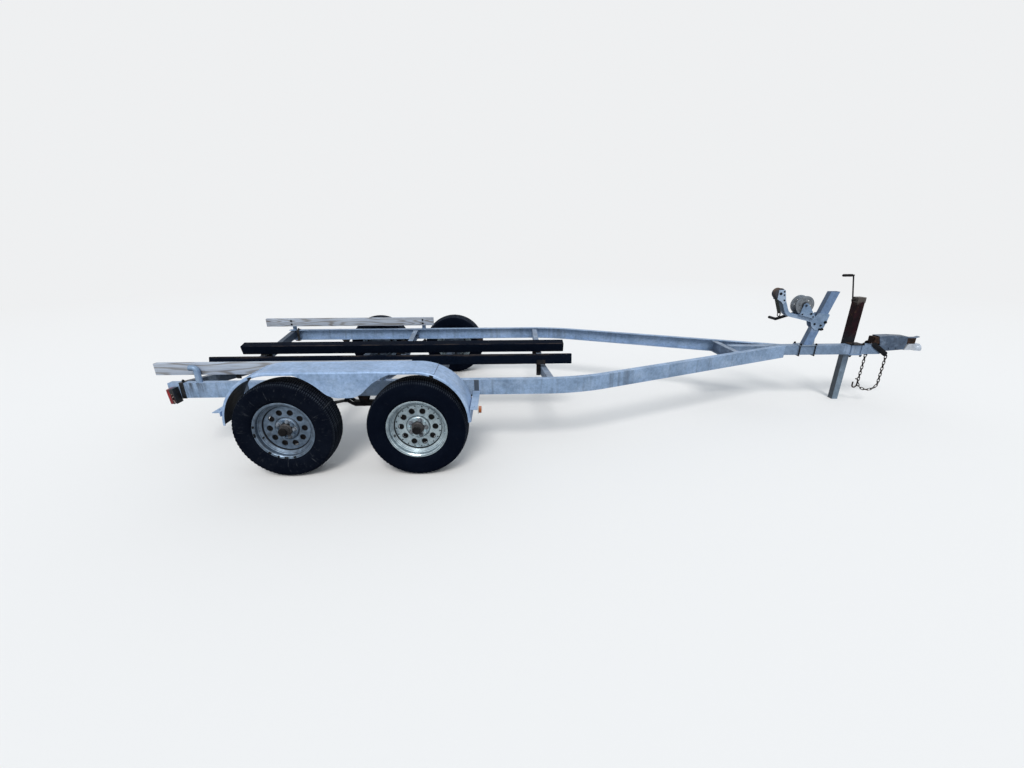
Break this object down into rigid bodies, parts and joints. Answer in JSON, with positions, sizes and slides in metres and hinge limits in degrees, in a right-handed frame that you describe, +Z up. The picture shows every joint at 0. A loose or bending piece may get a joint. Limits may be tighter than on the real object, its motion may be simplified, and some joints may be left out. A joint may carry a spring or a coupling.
{
  "type": "boat trailer",
  "caption": "Galvanised tandem-axle boat trailer with carpeted bunks, side boards, one tandem fender, winch post, tongue jack and ball coupler.",
  "frame": {"origin": "on the floor, under the middle of the trailer's length and width", "axes": "+X towards the coupler, +Y to the trailer's left side, +Z up"},
  "size_m": [6.6646, 2.57, 1.2216],
  "materials": {
    "galvanised": "matte",
    "wheel_steel": "satin",
    "hub_steel": "rough",
    "tyre": "matte",
    "carpet": "matte",
    "timber": "rough",
    "dark_steel": "rough",
    "jack_paint": "satin",
    "rusty_steel": "rough",
    "roller_rubber": "matte",
    "webbing": "matte",
    "chain": "rough",
    "red_lamp": "gloss",
    "amber_lamp": "gloss"
  },
  "bodies": {
    "frame": {"rail_right": "galvanised", "rail_left": "galvanised", "tongue": "galvanised", "tongue_crossmember": "galvanised", "crossmember_front": "galvanised", "crossmember_middle": "galvanised", "crossmember_rear": "galvanised", "spring_hangers_right": "dark_steel", "spring_hangers_left": "dark_steel", "leaf_springs_right": "dark_steel", "leaf_springs_left": "dark_steel", "equaliser_right": "dark_steel", "equaliser_left": "dark_steel", "axle_clamps_right": "dark_steel", "axle_clamps_left": "dark_steel", "axle_front": "galvanised", "axle_rear": "galvanised", "fender_centre": "galvanised", "fender_front_end": "galvanised", "fender_rear_end": "galvanised", "fender_brackets": "galvanised", "bunk_right": "carpet", "bunk_left": "carpet", "board_right": "timber", "board_left": "timber", "bunk_brackets": "dark_steel", "board_posts": "galvanised", "winch_post": "galvanised", "winch_post_foot": "galvanised", "winch_arm": "galvanised", "bow_bracket": "galvanised", "bow_roller": "roller_rubber", "bow_strap": "webbing", "winch_frame": "galvanised", "jack_tube": "jack_paint", "jack_mount": "dark_steel", "jack_crank": "dark_steel", "coupler_case": "galvanised", "coupler_slide": "rusty_steel", "ball_socket": "galvanised", "coupler_latch": "galvanised", "safety_chains": "chain", "tail_lamps": "red_lamp", "marker_lamps": "amber_lamp"},
    "wheel_front_right": {"tyre_front_right": "tyre", "rim_front_right": "wheel_steel", "hub_front_right": "hub_steel"},
    "wheel_front_left": {"tyre_front_left": "tyre", "rim_front_left": "wheel_steel", "hub_front_left": "hub_steel"},
    "wheel_rear_right": {"tyre_rear_right": "tyre", "rim_rear_right": "wheel_steel", "hub_rear_right": "hub_steel"},
    "wheel_rear_left": {"tyre_rear_left": "tyre", "rim_rear_left": "wheel_steel", "hub_rear_left": "hub_steel"},
    "winch_drum": {"winch_drum": "galvanised"},
    "winch_crank": {"winch_crank": "dark_steel"},
    "jack_leg": {"jack_leg": "galvanised"}
  },
  "joints": [
    {"name": "wheel_spin_front_right", "type": "hinge", "parent": "frame", "child": "wheel_front_right", "pos_m": [-1.27784, -1.175, 0.345], "axis": [0, 1, 0], "continuous": true},
    {"name": "wheel_spin_front_left", "type": "hinge", "parent": "frame", "child": "wheel_front_left", "pos_m": [-1.27784, 1.175, 0.345], "axis": [0, 1, 0], "continuous": true},
    {"name": "wheel_spin_rear_right", "type": "hinge", "parent": "frame", "child": "wheel_rear_right", "pos_m": [-2.16684, -1.175, 0.345], "axis": [0, 1, 0], "continuous": true},
    {"name": "wheel_spin_rear_left", "type": "hinge", "parent": "frame", "child": "wheel_rear_left", "pos_m": [-2.16684, 1.175, 0.345], "axis": [0, 1, 0], "continuous": true},
    {"name": "winch_drum_spin", "type": "hinge", "parent": "frame", "child": "winch_drum", "pos_m": [2.08234, 0, 0.96527], "axis": [0, 1, 0], "continuous": true},
    {"name": "winch_crank_spin", "type": "hinge", "parent": "frame", "child": "winch_crank", "pos_m": [2.14423, 0, 0.88993], "axis": [0, 1, 0], "continuous": true},
    {"name": "jack_leg_slide", "type": "slide", "parent": "frame", "child": "jack_leg", "axis": [0, 0, 1], "range_m": [0, 0.38]}
  ],
  "couplings": [
    {"joint": "winch_crank_spin", "follows": "winch_drum_spin", "ratio": -5.5}
  ]
}
